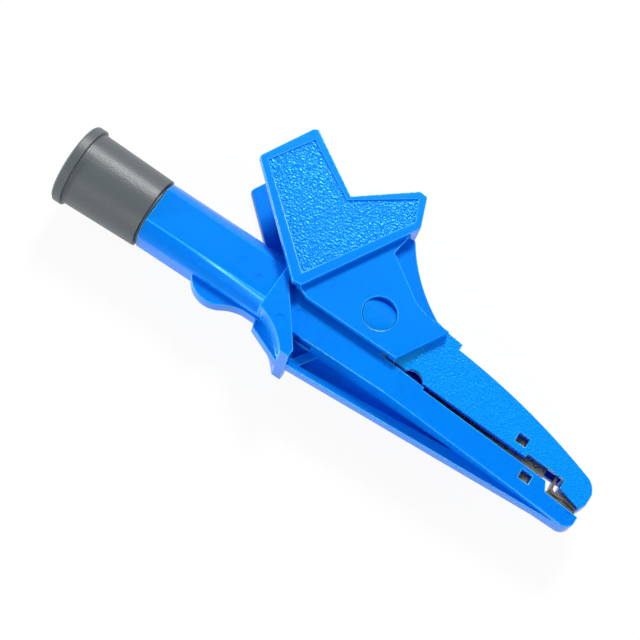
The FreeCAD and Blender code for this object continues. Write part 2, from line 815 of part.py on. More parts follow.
def make_thumb_lever():
    """Cheeks, thumb web, neck plates, spine and upper jaw in one moulding."""
    body = new_body("thumb_lever")
    heel_rise = cell("heel_rise")
    heel = pivot[0] + leg(clear_radius, pivot[1] - heel_rise)
    notch = (cell("notch_along"), -cell("notch_drop"))
    notch_radius = cell("notch_radius")
    notch_rear_y = -cell("notch_rear_drop")
    notch_rear_x = notch[0] - leg(notch_radius, notch_rear_y - notch[1])
    notch_front_y = -cell("edge_rear_drop")
    notch_front_x = notch[0] + leg(notch_radius, notch_front_y - notch[1])
    tip = cell("tip_along")
    spine_side = cell("spine_top") - cell("spine_side_depth")
    spine_inner = (
        spine_side + cell("spine_inner_run"),
        cell("neck_shoulder_rise") - cell("spine_inner_drop"),
    )
    jaw = [
        (heel, heel_rise),
        (notch_rear_x, notch_rear_y, notch_radius, -1),
        (notch_front_x, notch_front_y),
        (cell("edge_step"), -cell("edge_front_drop")),
        (cell("edge_step"), -cell("edge_step_drop")),
        (cell("throat_front"), -cell("throat_drop")),
        (cell("throat_front"), -cell("nose_rear_drop")),
        (cell("nose_front"), -cell("nose_front_drop")),
        (tip, -cell("nose_rear_drop")),
        (tip, cell("nose_top_rise"), cell("nose_round"), 1),
        (cell("back_front"), cell("back_front_rise"), cell("back_radius"), 1),
        (cell("brow_front"), cell("back_rear_rise")),
        (cell("brow_front"), cell("brow_front_rise")),
        (cell("neck_brow"), cell("brow_rise")),
        (cell("spine_foot"), cell("spine_foot_rise"), cell("spine_radius"), -1),
        (cell("spine_top"), cell("spine_top_rise")),
        (spine_side, cell("spine_top_rise")),
        spine_inner,
        (pivot[0], pivot[1] + clear_radius, clear_radius, -1),
    ]
    slab(body, "Pad", "jaw_and_spine", jaw, side_half * 2.0)
    taper_cuts(body, "jaw_taper")

    web_low = (cell("cheek_vee"), cell("cheek_vee_rise") - cell("web_drop"))
    neck = [
        (cell("cheek_toe"), cell("cheek_toe_rise")),
        (cell("cheek_toe") + cell("neck_toe_run"), cell("neck_low")),
        (cell("neck_front"), -cell("neck_front_drop")),
        (cell("neck_brow"), cell("neck_brow_rise")),
        (
            cell("neck_waist") + cell("neck_crease_run"),
            cell("neck_brow_rise") + cell("neck_crease_rise"),
        ),
        (cell("neck_waist"), cell("neck_waist_rise")),
        (cell("neck_shoulder"), cell("neck_shoulder_rise")),
        (cell("neck_shoulder") + cell("neck_top_run"), cell("spine_top_rise")),
        (web_low[0], web_low[1] + cell("neck_web_overlap")),
        (
            cell("cheek_vee") - cell("neck_rear_run"),
            cell("cheek_toe_rise") + cell("neck_rear_rise"),
        ),
    ]
    slab(body, "Pad", "neck", neck, neck_outer * 2.0)
    horn_front = cell("cheek_horn") + cell("cheek_horn_land")
    cheek_front = horn_front + cell("cheek_front_lean")
    horn_low = cell("cheek_horn_rise") - cell("cheek_horn_fall")
    peak = (cell("cheek_peak"), cell("cheek_peak_rise"))
    cheek = [
        (cell("cheek_heel"), cell("cheek_heel_rise")),
        (cell("cheek_toe"), cell("cheek_toe_rise")),
        (cheek_front, cell("cheek_front_rise")),
        (horn_front, horn_low),
        (cell("cheek_horn"), cell("cheek_horn_rise")),
        (cell("cheek_vee"), cell("cheek_vee_rise")),
        peak,
        (peak[0] - cell("cheek_peak_run"), peak[1] - cell("cheek_peak_fall")),
        (cell("cheek_rear"), cell("cheek_rear_rise")),
        (
            cell("cheek_rear") - cell("cheek_rear_run"),
            cell("cheek_rear_rise") - cell("cheek_rear_fall"),
        ),
    ]
    slab(body, "Pad", "cheeks_and_web", cheek, cheek_outer * 2.0)

    end_wall = cell("end_wall")
    below = -cell("deep_overrun")
    channel = [
        (web_low[0], below),
        web_low,
        (horn_front - end_wall, horn_low - cell("web_drop")),
        (cheek_front - end_wall, cell("cheek_front_rise")),
        spine_inner,
        (pivot[0], pivot[1] + clear_radius, clear_radius, -1),
        (heel, heel_rise),
        (heel, below),
    ]
    slab(body, "Pocket", "ear_channel", channel, neck_inner * 2.0)
    swing = cell("swing_radius")
    swing_top = cell("cheek_vee_rise") - cell("swing_top_drop")
    swing_low = -cell("swing_low_drop")
    swing_foot = pivot[0] - leg(swing, pivot[1] - swing_low)
    past_peak = cell("cheek_peak") - cell("peak_overrun")
    past_rear = cell("cheek_rear") - cell("deep_overrun")
    slope = (peak[1] - cell("cheek_vee_rise")) / (cell("cheek_vee") - peak[0])
    room_top = web_low[1] + (web_low[0] - past_peak) * slope
    rear_room = [
        (past_rear, below),
        (past_rear, room_top),
        (past_peak, room_top),
        web_low,
        (pivot[0] - leg(swing, swing_top - pivot[1]), swing_top, swing, 1),
        (swing_foot, swing_low),
        (swing_foot, below),
    ]
    slab(body, "Pocket", "barrel_room", rear_room, neck_outer * 2.0)

    spine_wall = cell("spine_wall")
    spine_low = cell("spine_top_rise") - spine_wall
    hollow_heel = heel - cell("spine_heel_inset")
    spine_hollow = [
        (spine_side, spine_low),
        (cell("spine_top") - spine_wall, spine_low, cell("spine_radius") + spine_wall, 1),
        (cell("spine_foot") - cell("spine_foot_inset"), cell("spine_foot_rise") - spine_wall),
        (cell("taper_start"), cell("ceiling_rear_rise") + cell("spine_ceiling_rise")),
        (cell("taper_start"), below),
        (hollow_heel, below),
        (hollow_heel, pivot[1]),
        (pivot[0], pivot[1] + ear_radius),
    ]
    slab(body, "Pocket", "spine_hollow", spine_hollow, room_half * 2.0)
    cavity_rear = cell("taper_start") - cell("cavity_overlap")
    cavity_front = cell("throat_front") - cell("throat_wall")
    cavity = [
        (cavity_rear, below),
        (cavity_rear, cell("ceiling_rear_rise") + cell("cavity_rear_rise")),
        (cell("brow_front"), cell("ceiling_rear_rise")),
        (cell("ceiling_front"), cell("ceiling_front_rise")),
        (cavity_front, cell("ceiling_front_rise") - cell("cavity_front_fall")),
        (cavity_front, -cell("throat_drop") - cell("throat_floor_drop")),
        (cell("edge_step"), below),
    ]
    slab(body, "Pocket", "jaw_channel", cavity, slot_half * 2.0)
    funnel_cut(body, "jaw_funnel", below, cell("ceiling_funnel_rise"), cavity_rear)

    hole = cell("trunnion_radius") + cell("trunnion_play")
    disc(body, "Pocket", "pivot_holes", pivot, hole, cheek_outer * 2.0 + overrun)
    windows(body, "upper_windows", cell("upper_window"), cell("upper_window_rise"))

    # each corner of the panel moves in by the share of the rim that suits its angle
    rim = cell("cheek_rim")
    panel = [
        (cell("cheek_heel") + rim * 0.4, cell("cheek_heel_rise") + rim * 1.5),
        (cheek_front - rim, cell("cheek_front_rise") + rim * 0.3),
        (cell("cheek_horn") + rim * 0.3, cell("cheek_horn_rise") - rim),
        (cell("cheek_vee") - rim * 0.1, cell("cheek_vee_rise") - rim * 0.7),
        (cell("cheek_peak") + rim * 0.4, cell("cheek_peak_rise") - rim * 1.4),
        (cell("cheek_rear") + rim, cell("cheek_rear_rise") - rim * 0.1),
    ]
    for side in (1, -1):
        slab(
            body, "Pocket", f"grip_panel_{'near' if side > 0 else 'far'}", panel,
            cell("cheek_recess") * 2.0, middle=cheek_outer * side,
        )
    return body


def make_rear_sleeve():
    """Grey shroud with a flange, a central pillar and a spigot that plugs into the barrel."""
    body = new_body("rear_sleeve")
    bore = cell("socket_outer_radius") + cell("socket_play")
    length = cell("sleeve_length") - cell("spigot_play")
    chamfer = cell("sleeve_chamfer")
    groove_rear = length - cell("sleeve_groove_width")
    groove_floor = cell("sleeve_front_radius") - cell("sleeve_groove_depth")
    profile = [
        (as_size(0.0), cell("shroud_bore_radius") + chamfer),
        (as_size(0.0), cell("flange_radius") - chamfer),
        (chamfer, cell("flange_radius")),
        (cell("flange_length"), cell("flange_radius")),
        (cell("flange_length"), cell("sleeve_rear_radius")),
        (groove_rear, cell("sleeve_front_radius")),
        (groove_rear, groove_floor),
        (length, groove_floor),
        (length, cell("spigot_radius")),
        (length + cell("spigot_length"), cell("spigot_radius")),
        (length + cell("spigot_length"), bore),
        (cell("pillar_setback"), bore),
        (cell("pillar_setback"), cell("pillar_radius")),
        (cell("shroud_depth"), cell("pillar_radius")),
        (cell("shroud_depth"), cell("shroud_bore_radius")),
        (chamfer, cell("shroud_bore_radius")),
    ]
    turned(body, "shroud", profile)
    return body


def make_socket_tube():
    """Turned socket with a collar and a flattened tongue that carries the contact strip."""
    body = new_body("socket_tube")
    outer = cell("socket_outer_radius")
    bore = cell("socket_bore_radius")
    rear = cell("socket_setback")
    bottom = rear + cell("socket_bore_depth")
    chamfer = cell("socket_chamfer")
    collar_rear, collar_front = collar_ends()
    flat_rear = collar_front + cell("tongue_neck")
    end = flat_rear + cell("tongue_length")
    profile = [
        (rear, bore + chamfer),
        (rear, outer),
        (collar_rear, outer),
        (collar_rear, cell("collar_radius")),
        (collar_front, cell("collar_radius")),
        (collar_front, outer),
        (end, outer),
        (end, as_size(0.0)),
        (bottom + cell("drill_point"), as_size(0.0)),
        (bottom, bore),
        (rear + chamfer, bore),
    ]
    turned(body, "turning", profile)
    past = end + overrun
    for name, low, high in (
        ("tongue_flat_low", -(outer + overrun), -cell("tongue_low")),
        ("tongue_flat_high", cell("tongue_high"), outer + overrun),
    ):
        corners = [(flat_rear, low), (past, low), (past, high), (flat_rear, high)]
        slab(body, "Pocket", name, corners, outer * 2.0 + overrun)
    hole = cell("rivet_shank_radius") + cell("rivet_play")
    disc(body, "Pocket", "rivet_hole", (rivet_along(), 0), hole, far, "XZ_Plane")
    return body


def collar_ends():
    """Where the socket's collar starts and ends, in front of the spigot."""
    rear = cell("sleeve_length") + cell("spigot_length") + cell("collar_seat_play")
    return rear, rear + cell("collar_length")


def rivet_along():
    """Where the rivet stands, half way along the tongue's flats."""
    return collar_ends()[1] + cell("tongue_neck") + cell("tongue_length") / 2.0


def make_contact_rivet():
    """Rivet that clamps the contact strip under the socket's tongue."""
    body = new_body("contact_rivet")
    shank = cell("rivet_shank_radius")
    head = cell("rivet_head_radius")
    height = cell("rivet_head_height")
    dome, rim = cell("rivet_dome_radius"), cell("rivet_rim_height")
    low = -cell("tongue_low") - cell("sheet_metal") - cell("rivet_head_play")
    high = cell("tongue_high") + cell("rivet_set_play")
    profile = [
        (as_size(0.0), low - height),
        (dome, low - height),
        (head, low - rim),
        (head, low),
        (shank, low),
        (shank, high),
        (head, high),
        (head, high + rim),
        (dome, high + height),
        (as_size(0.0), high + height),
    ]
    turned(body, "rivet", profile, "V_Axis")
    body.setExpression("Placement.Base.x", rivet_along().text)
    return body


def toothed_edge(level):
    """Saw teeth from the rear of a contact's flange to its front, about the bite line."""
    pitch, half_depth = cell("tooth_pitch"), cell("tooth_depth") / 2.0
    rear, front = cell("flange_rear"), cell("flange_front")
    count = int((front.number - rear.number) / pitch.number)
    corners = []
    for tooth in range(count):
        start = rear + pitch * tooth
        corners.append((start, level - half_depth))
        corners.append((start + pitch / 2.0, level + half_depth))
    corners.append((rear + pitch * count, level - half_depth))
    return corners


def barbs(body, along, up):
    """A pressed barb on each flange, which catches in the jaw's side window."""
    half_length, half_height = cell("barb_length") / 2.0, cell("barb_height") / 2.0
    base, top = cell("contact_half") - cell("barb_root"), cell("contact_half") + cell("barb_rise")
    for side in (1, -1):
        wedge = [
            (along - half_length, base * side),
            (along - half_length, (cell("contact_half") + cell("barb_toe_rise")) * side),
            (along + half_length, top * side),
            (along + half_length, base * side),
        ]
        slab(
            body, "Pad", f"barb_{'near' if side > 0 else 'far'}", wedge, half_height * 2.0,
            "XZ_Plane", -up,
        )


def make_lower_contact():
    """Strip from the socket's tongue to the lower nose, with toothed flanges in the jaw."""
    body = new_body("lower_contact")
    sheet_metal = cell("sheet_metal")
    half = cell("contact_half")
    half_sheet = sheet_metal / 2.0
    strip_y = -cell("tongue_low") - cell("strip_play") - half_sheet
    floor_rear = underside + cell("wall") + cell("floor_play") + half_sheet
    floor_front = (
        -cell("belly_front_drop") + cell("wall")
        + cell("floor_front_rise") + cell("floor_front_play") + half_sheet
    )
    nose_y = -cell("lower_nose_drop") + cell("contact_play") + half_sheet
    tip_y = -cell("lower_tip_drop") + cell("tip_play") + half_sheet
    middle_line = [
        (rivet_along() - cell("strip_tail"), strip_y),
        (cell("belly_rear") - cell("strip_bend_run"), strip_y),
        (cell("lip_front") - cell("strip_foot_run"), floor_rear - cell("strip_foot_drop")),
        (cell("lower_throat") - cell("strip_throat_run"), floor_front),
        (cell("lower_nose") + cell("strip_nose_run"), nose_y),
        (cell("tip_along") - cell("strip_tip_run"), tip_y),
    ]
    slab(body, "Pad", "strip", ribbon(middle_line, sheet_metal), half * 2.0)
    teeth = toothed_edge(-cell("bite_drop") + cell("tooth_depth") / 2.0)
    rear = cell("flange_rear")
    flange_foot = floor_rear - cell("flange_foot_drop")
    flange = teeth + [
        (teeth[-1][0], floor_front),
        (rear, flange_foot),
    ]
    slab(body, "Pad", "flanges", flange, half * 2.0)
    gap_rear = rear - overrun / 2.0
    gap = [
        (gap_rear, overrun),
        (gap_rear, flange_foot + cell("root_rear_rise")),
        (cell("lower_throat") - cell("gap_front_run"), floor_front + cell("root_front_rise")),
        (cell("lower_throat") - cell("gap_lip_run"), overrun),
    ]
    slab(body, "Pocket", "between_flanges", gap, (half - sheet_metal) * 2.0)
    barbs(body, cell("lower_window"), -cell("lower_window_drop"))
    hole = cell("rivet_shank_radius") + cell("rivet_play")
    disc(body, "Pocket", "rivet_hole", (rivet_along(), 0), hole, far, "XZ_Plane")
    return body


def make_upper_contact():
    """Toothed channel in the upper jaw whose front leg wraps under the nose."""
    body = new_body("upper_contact")
    sheet_metal = cell("sheet_metal")
    half = cell("contact_half")
    rear, front = cell("flange_rear"), cell("flange_front")
    top_rear = cell("upper_window_rise") + cell("window_height") / 2.0 + sheet_metal
    top_front = cell("ceiling_front_rise") - cell("upper_strip_fall")
    leg_x = cell("throat_front") - cell("wrap_leg_run")
    under = -cell("nose_rear_drop")
    wrap_low = under - cell("wrap_low_drop")
    middle_line = [
        (rear, top_rear),
        (front, top_front),
        (leg_x - cell("wrap_bend_run"), top_front - cell("wrap_bend_fall")),
        (leg_x, under - cell("wrap_leg_drop")),
        (leg_x + cell("wrap_foot_run"), wrap_low),
        (leg_x + cell("wrap_flat_run"), wrap_low),
        (leg_x + cell("wrap_crest_run"), under - cell("wrap_crest_drop")),
        (leg_x + cell("wrap_dip_run"), under - cell("wrap_dip_drop")),
        (leg_x + cell("wrap_end_run"), under - cell("wrap_end_drop")),
    ]
    slab(body, "Pad", "strip", ribbon(middle_line, sheet_metal), half * 2.0)
    teeth = toothed_edge(-cell("bite_drop") + cell("tooth_depth") / 2.0 + cell("tooth_gap"))
    flange = [
        (rear, top_rear),
        *teeth,
        (teeth[-1][0], top_front),
    ]
    slab(body, "Pad", "flanges", flange, half * 2.0)
    gap_rear, gap_front = rear - overrun / 2.0, front + cell("gap_front_play")
    gap_low = -cell("gap_low")
    gap = [
        (gap_rear, gap_low),
        (gap_rear, top_rear - cell("root_front_rise")),
        (gap_front, top_front - cell("root_rear_rise")),
        (gap_front, gap_low),
    ]
    slab(body, "Pocket", "between_flanges", gap, (half - sheet_metal) * 2.0)
    barbs(body, cell("upper_window"), cell("upper_window_rise"))
    return body


def make_torsion_spring():
    """Coil about the hinge axis with one leg on the body's floor and one under the thumb web."""
    coil_radius, wire = cell("coil_radius"), cell("wire_radius")
    web_low = (cell("cheek_vee"), cell("cheek_vee_rise") - cell("web_drop"))
    push_angle, contact = tangent_line(pivot, coil_radius, web_low, wire + cell("leg_play"))
    turns = cell("whole_turns") + push_angle / 360.0
    height = turns * cell("coil_pitch")
    coil_line = document.addObject("Part::Helix", "coil_line")
    coil_line.setExpression("Radius", coil_radius.text)
    coil_line.setExpression("Pitch", cell("coil_pitch").text)
    coil_line.setExpression("Height", height.text)
    section = document.addObject("Part::RegularPolygon", "wire_section")
    section.Polygon = WIRE_SIDES
    section.setExpression("Circumradius", wire.text)
    section.Placement.Rotation = FreeCAD.Rotation(FreeCAD.Vector(1, 0, 0), 90)
    section.setExpression("Placement.Base.x", coil_radius.text)
    coil = document.addObject("Part::Sweep", "coil")
    coil.Sections = [section]
    coil.Spine = (coil_line, [])
    coil.Solid = True
    coil.Frenet = True
    legs = []
    for name, length, around, level, sense in (
        ("rest_leg", cell("rest_leg_length"), as_size(0.0), as_size(0.0), -1),
        ("push_leg", contact + cell("leg_overhang"), push_angle, height, 1),
    ):
        wire_leg = document.addObject("Part::Prism", name)
        wire_leg.Polygon = WIRE_SIDES
        wire_leg.setExpression("Circumradius", wire.text)
        wire_leg.setExpression("Height", length.text)
        across, up = cosine(around), sine(around)
        along = FreeCAD.Vector(-up.number * sense, across.number * sense, 0)
        wire_leg.Placement.Rotation = FreeCAD.Rotation(FreeCAD.Vector(0, 0, 1), along)
        wire_leg.setExpression("Placement.Base.x", (coil_radius * across).text)
        wire_leg.setExpression("Placement.Base.y", (coil_radius * up).text)
        wire_leg.setExpression("Placement.Base.z", level.text)
        legs.append(wire_leg)
    spring = document.addObject("Part::MultiFuse", "torsion_spring")
    spring.Label = "torsion_spring"
    spring.Shapes = [coil] + legs
    spring.Placement.Rotation = FreeCAD.Rotation(FreeCAD.Vector(0, 0, 1), -90)
    spring.setExpression("Placement.Base.x", pivot[0].text)
    spring.setExpression("Placement.Base.y", pivot[1].text)
    spring.setExpression("Placement.Base.z", (-(height / 2.0)).text)
    return spring


makers = (
    make_lower_body,
    make_thumb_lever,
    make_rear_sleeve,
    make_socket_tube,
    make_contact_rivet,
    make_lower_contact,
    make_upper_contact,
    make_torsion_spring,
)
pieces = [maker() for maker in makers]
document.recompute()

for item in document.Objects:
    if "Invalid" in item.State or "Error" in item.State:
        raise RuntimeError(f"{item.Label} failed: {item.State}")
for piece in pieces:
    shape = piece.Shape
    if shape.isNull() or not shape.isValid() or len(shape.Solids) != 1:
        raise RuntimeError(f"{piece.Label} is not one valid solid")
    print(piece.Label, round(shape.Volume, 1), shape.BoundBox)

os.makedirs("parts", exist_ok=True)
for piece in pieces:
    piece.Shape.exportStep(f"parts/{piece.Label}.step")
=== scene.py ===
import logging
import math
from dataclasses import dataclass, field
from enum import Enum

import bmesh
import bpy
from mathutils import Matrix, Vector


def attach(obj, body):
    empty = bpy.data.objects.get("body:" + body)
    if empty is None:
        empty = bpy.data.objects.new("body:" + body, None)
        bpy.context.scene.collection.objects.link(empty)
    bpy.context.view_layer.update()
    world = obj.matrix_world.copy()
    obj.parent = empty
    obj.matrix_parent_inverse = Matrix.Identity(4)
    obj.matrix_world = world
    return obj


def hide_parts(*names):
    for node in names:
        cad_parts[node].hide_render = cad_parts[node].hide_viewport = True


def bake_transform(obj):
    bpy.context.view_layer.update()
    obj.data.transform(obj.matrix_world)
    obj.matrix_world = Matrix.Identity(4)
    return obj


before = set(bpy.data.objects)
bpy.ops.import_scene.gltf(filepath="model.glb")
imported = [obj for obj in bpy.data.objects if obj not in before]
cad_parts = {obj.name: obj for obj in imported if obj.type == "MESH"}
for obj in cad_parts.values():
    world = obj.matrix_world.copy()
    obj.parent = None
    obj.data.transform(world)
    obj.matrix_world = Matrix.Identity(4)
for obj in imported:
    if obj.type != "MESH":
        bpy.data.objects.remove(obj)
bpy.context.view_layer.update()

log = logging.getLogger("crocodile_clip")
MM = 0.001
MERGE_DISTANCE = 0.002 * MM
FLAT_WITHIN = 0.5
FLAT_FACE_PULL = 100

# places of the finishes on a moulding, after the polished one
# painted highlight: the paler plastic put on rounded edges and narrow faces
PAINTED_HIGHLIGHT_PLACE = 1
GRAIN_PLACE = 2
FINE_GRAIN_PLACE = 3

# plastic: light under the surface, cloudy tint, fine ripple of the polished faces
PLASTIC_IOR = 1.5
WANDER_SHARES = (0.1, 0.3, 1.0)
WANDER_LENGTH = 3.0 * MM
CLOUD_SCALE = 90.0
CLOUD_DETAIL = 4.0
PLASTIC_SMOOTHER = 0.05
PLASTIC_ROUGHER = 0.07
GRAIN_SOFTNESS = 0.6
RIPPLE_SCALE = 420.0
RIPPLE_DETAIL = 3.0
RIPPLE_DEPTH = 0.02 * MM
RIPPLE_STRENGTH = 0.35

# metal: fine marks of the working, dull patches
MARK_DETAIL = 5.0
MARK_DEPTH = 0.01 * MM
MARK_STRENGTH = 0.4
PATCH_SCALE = 350.0
METAL_SMOOTHER = 0.08
METAL_ROUGHER = 0.12


class Surface(Enum):
    """How the mould left a plastic surface."""

    POLISHED = "polished"
    GRAINED = "grained"


class Metal(Enum):
    """Where the metal pieces get their look from."""

    SHEET = "sheet"
    TURNED = "turned"
    WIRE = "wire"


@dataclass(frozen=True)
class PlasticFinish:
    """Dyed moulded plastic.

    Attributes:
        name: The material's name.
        colour: Linear base colour.
        shade: Linear colour of the slightly darker patches.
        roughness: Middle roughness.
        surface: Polished or grained.
        gleam: Linear tint of the reflection at a right angle.
        depth: Share of the light that wanders under the surface.
        grain_size: Width of one pebble of the grain, in metres.
        grain_depth: Depth of the grain, in metres.
    """

    name: str
    colour: tuple[float, float, float]
    shade: tuple[float, float, float]
    roughness: float
    surface: Surface = Surface.POLISHED
    gleam: tuple[float, float, float] = (0.04, 0.6, 1.0)
    depth: float = 0.4
    grain_size: float = 0.34 * MM
    grain_depth: float = 0.1 * MM

    def material(self) -> bpy.types.Material:
        """Builds the node tree.

        Returns:
            The finished material.
        """
        made = bpy.data.materials.new(self.name)
        made.use_nodes = True
        nodes, links = made.node_tree.nodes, made.node_tree.links
        shader = nodes["Principled BSDF"]
        shader.inputs["IOR"].default_value = PLASTIC_IOR
        shader.inputs["Specular Tint"].default_value = (*self.gleam, 1.0)
        shader.inputs["Subsurface Weight"].default_value = self.depth
        shader.inputs["Subsurface Radius"].default_value = WANDER_SHARES
        shader.inputs["Subsurface Scale"].default_value = WANDER_LENGTH
        place = nodes.new("ShaderNodeTexCoord").outputs["Object"]

        cloud = nodes.new("ShaderNodeTexNoise")
        cloud.inputs["Scale"].default_value = CLOUD_SCALE
        cloud.inputs["Detail"].default_value = CLOUD_DETAIL
        links.new(place, cloud.inputs["Vector"])
        tint = nodes.new("ShaderNodeMix")
        tint.data_type = "RGBA"
        tint.inputs[6].default_value = (*self.colour, 1.0)
        tint.inputs[7].default_value = (*self.shade, 1.0)
        links.new(cloud.outputs["Fac"], tint.inputs["Factor"])
        links.new(tint.outputs[2], shader.inputs["Base Color"])

        gloss = nodes.new("ShaderNodeMapRange")
        gloss.inputs["To Min"].default_value = self.roughness - PLASTIC_SMOOTHER
        gloss.inputs["To Max"].default_value = self.roughness + PLASTIC_ROUGHER
        links.new(cloud.outputs["Fac"], gloss.inputs["Value"])
        links.new(gloss.outputs["Result"], shader.inputs["Roughness"])

        relief = nodes.new("ShaderNodeBump")
        if self.surface is Surface.GRAINED:
            pebbles = nodes.new("ShaderNodeTexVoronoi")
            pebbles.feature = "SMOOTH_F1"
            pebbles.inputs["Scale"].default_value = 1.0 / self.grain_size
            pebbles.inputs["Smoothness"].default_value = GRAIN_SOFTNESS
            links.new(place, pebbles.inputs["Vector"])
            links.new(pebbles.outputs["Distance"], relief.inputs["Height"])
            relief.inputs["Distance"].default_value = self.grain_depth
            relief.inputs["Strength"].default_value = 1.0
        else:
            ripple = nodes.new("ShaderNodeTexNoise")
            ripple.inputs["Scale"].default_value = RIPPLE_SCALE
            ripple.inputs["Detail"].default_value = RIPPLE_DETAIL
            links.new(place, ripple.inputs["Vector"])
            links.new(ripple.outputs["Fac"], relief.inputs["Height"])
            relief.inputs["Distance"].default_value = RIPPLE_DEPTH
            relief.inputs["Strength"].default_value = RIPPLE_STRENGTH
        links.new(relief.outputs["Normal"], shader.inputs["Normal"])
        return made


@dataclass(frozen=True)
class MetalFinish:
    """Plated or drawn metal.

    Attributes:
        name: The material's name.
        colour: Linear colour of the clean metal.
        tarnish: Linear colour of the dull patches.
        roughness: Middle roughness.
        metal: Sheet, turned or wire, which sets the run of the fine marks.
    """

    name: str
    colour: tuple[float, float, float]
    tarnish: tuple[float, float, float]
    roughness: float
    metal: Metal

    def material(self) -> bpy.types.Material:
        """Builds the node tree.

        Returns:
            The finished material.
        """
        stretch = {
            Metal.SHEET: (60.0, 900.0, 900.0),
            Metal.TURNED: (2200.0, 120.0, 120.0),
            Metal.WIRE: (500.0, 500.0, 500.0),
        }[self.metal]
        made = bpy.data.materials.new(self.name)
        made.use_nodes = True
        nodes, links = made.node_tree.nodes, made.node_tree.links
        shader = nodes["Principled BSDF"]
        shader.inputs["Metallic"].default_value = 1.0
        place = nodes.new("ShaderNodeTexCoord").outputs["Object"]
        mapping = nodes.new("ShaderNodeMapping")
        mapping.inputs["Scale"].default_value = stretch
        links.new(place, mapping.inputs["Vector"])
        marks = nodes.new("ShaderNodeTexNoise")
        marks.inputs["Scale"].default_value = 1.0
        marks.inputs["Detail"].default_value = MARK_DETAIL
        links.new(mapping.outputs["Vector"], marks.inputs["Vector"])
        patches = nodes.new("ShaderNodeTexNoise")
        patches.inputs["Scale"].default_value = PATCH_SCALE
        links.new(place, patches.inputs["Vector"])
        tint = nodes.new("ShaderNodeMix")
        tint.data_type = "RGBA"
        tint.inputs[6].default_value = (*self.colour, 1.0)
        tint.inputs[7].default_value = (*self.tarnish, 1.0)
        links.new(patches.outputs["Fac"], tint.inputs["Factor"])
        links.new(tint.outputs[2], shader.inputs["Base Color"])
        gloss = nodes.new("ShaderNodeMapRange")
        gloss.inputs["To Min"].default_value = self.roughness - METAL_SMOOTHER
        gloss.inputs["To Max"].default_value = self.roughness + METAL_ROUGHER
        links.new(marks.outputs["Fac"], gloss.inputs["Value"])
        links.new(gloss.outputs["Result"], shader.inputs["Roughness"])
        relief = nodes.new("ShaderNodeBump")
        relief.inputs["Distance"].default_value = MARK_DEPTH
        relief.inputs["Strength"].default_value = MARK_STRENGTH
        links.new(marks.outputs["Fac"], relief.inputs["Height"])
        links.new(relief.outputs["Normal"], shader.inputs["Normal"])
        return made


@dataclass
class Finishes:
    """Every material of the clip, made once."""

    polished: bpy.types.Material = field(init=False)
    # paler plastic of the rounded edges, a painted highlight
    edge: bpy.types.Material = field(init=False)
    grained: bpy.types.Material = field(init=False)
    fine_grained: bpy.types.Material = field(init=False)
    sleeve: bpy.types.Material = field(init=False)
    plate: bpy.types.Material = field(init=False)
    socket: bpy.types.Material = field(init=False)
    wire: bpy.types.Material = field(init=False)

    def __post_init__(self) -> None:
        """Makes the materials."""
        azure, deep = (0.0, 0.22, 0.88), (0.0, 0.195, 0.84)
        self.polished = PlasticFinish("blue_polished", azure, deep, 0.26).material()
        # paler colour and whiter reflection tint on the rounded edges: a painted highlight
        self.edge = PlasticFinish(
            "blue_painted_edge_highlight", (0.02, 0.4, 0.98), (0.0, 0.34, 0.95), 0.2, gleam=(0.7, 0.9, 1.0)
        ).material()
        # the two grained blues are set paler than the polished blue as a painted sheen of the
        # grain; the grain's relief itself is a real bump
        self.grained = PlasticFinish(
            "blue_grained", (0.0, 0.25, 0.9), (0.0, 0.22, 0.87), 0.22, Surface.GRAINED,
            gleam=(0.12, 0.65, 1.0),
        ).material()
        self.fine_grained = PlasticFinish(
            "blue_fine_grained", (0.0, 0.29, 0.92), (0.0, 0.26, 0.89), 0.24, Surface.GRAINED,
            gleam=(0.1, 0.65, 1.0), grain_size=0.3 * MM, grain_depth=0.06 * MM,
        ).material()
        self.sleeve = PlasticFinish(
            "sleeve_grey", (0.08, 0.094, 0.1), (0.07, 0.084, 0.09), 0.42, Surface.GRAINED,
            gleam=(1.0, 1.0, 1.0), depth=0.0, grain_size=0.3 * MM, grain_depth=0.02 * MM,
        ).material()
        # nickel darkened far below its own colour as painted shade, standing in for the dark
        # jaw gap round the contacts; the dull patches are random darker tone, darkened the same
        # way
        nickel_darkened_as_painted_shade, dull_patches_darkened_as_painted_shade = (0.2, 0.19, 0.175), (0.045, 0.042, 0.038)
        self.plate = MetalFinish("contact_plate", nickel_darkened_as_painted_shade, dull_patches_darkened_as_painted_shade, 0.32, Metal.SHEET).material()
        self.socket = MetalFinish("socket_plate", nickel_darkened_as_painted_shade, dull_patches_darkened_as_painted_shade, 0.26, Metal.TURNED).material()
        self.wire = MetalFinish(
            "spring_wire", (0.33, 0.33, 0.33), (0.22, 0.22, 0.22), 0.3, Metal.WIRE
        ).material()


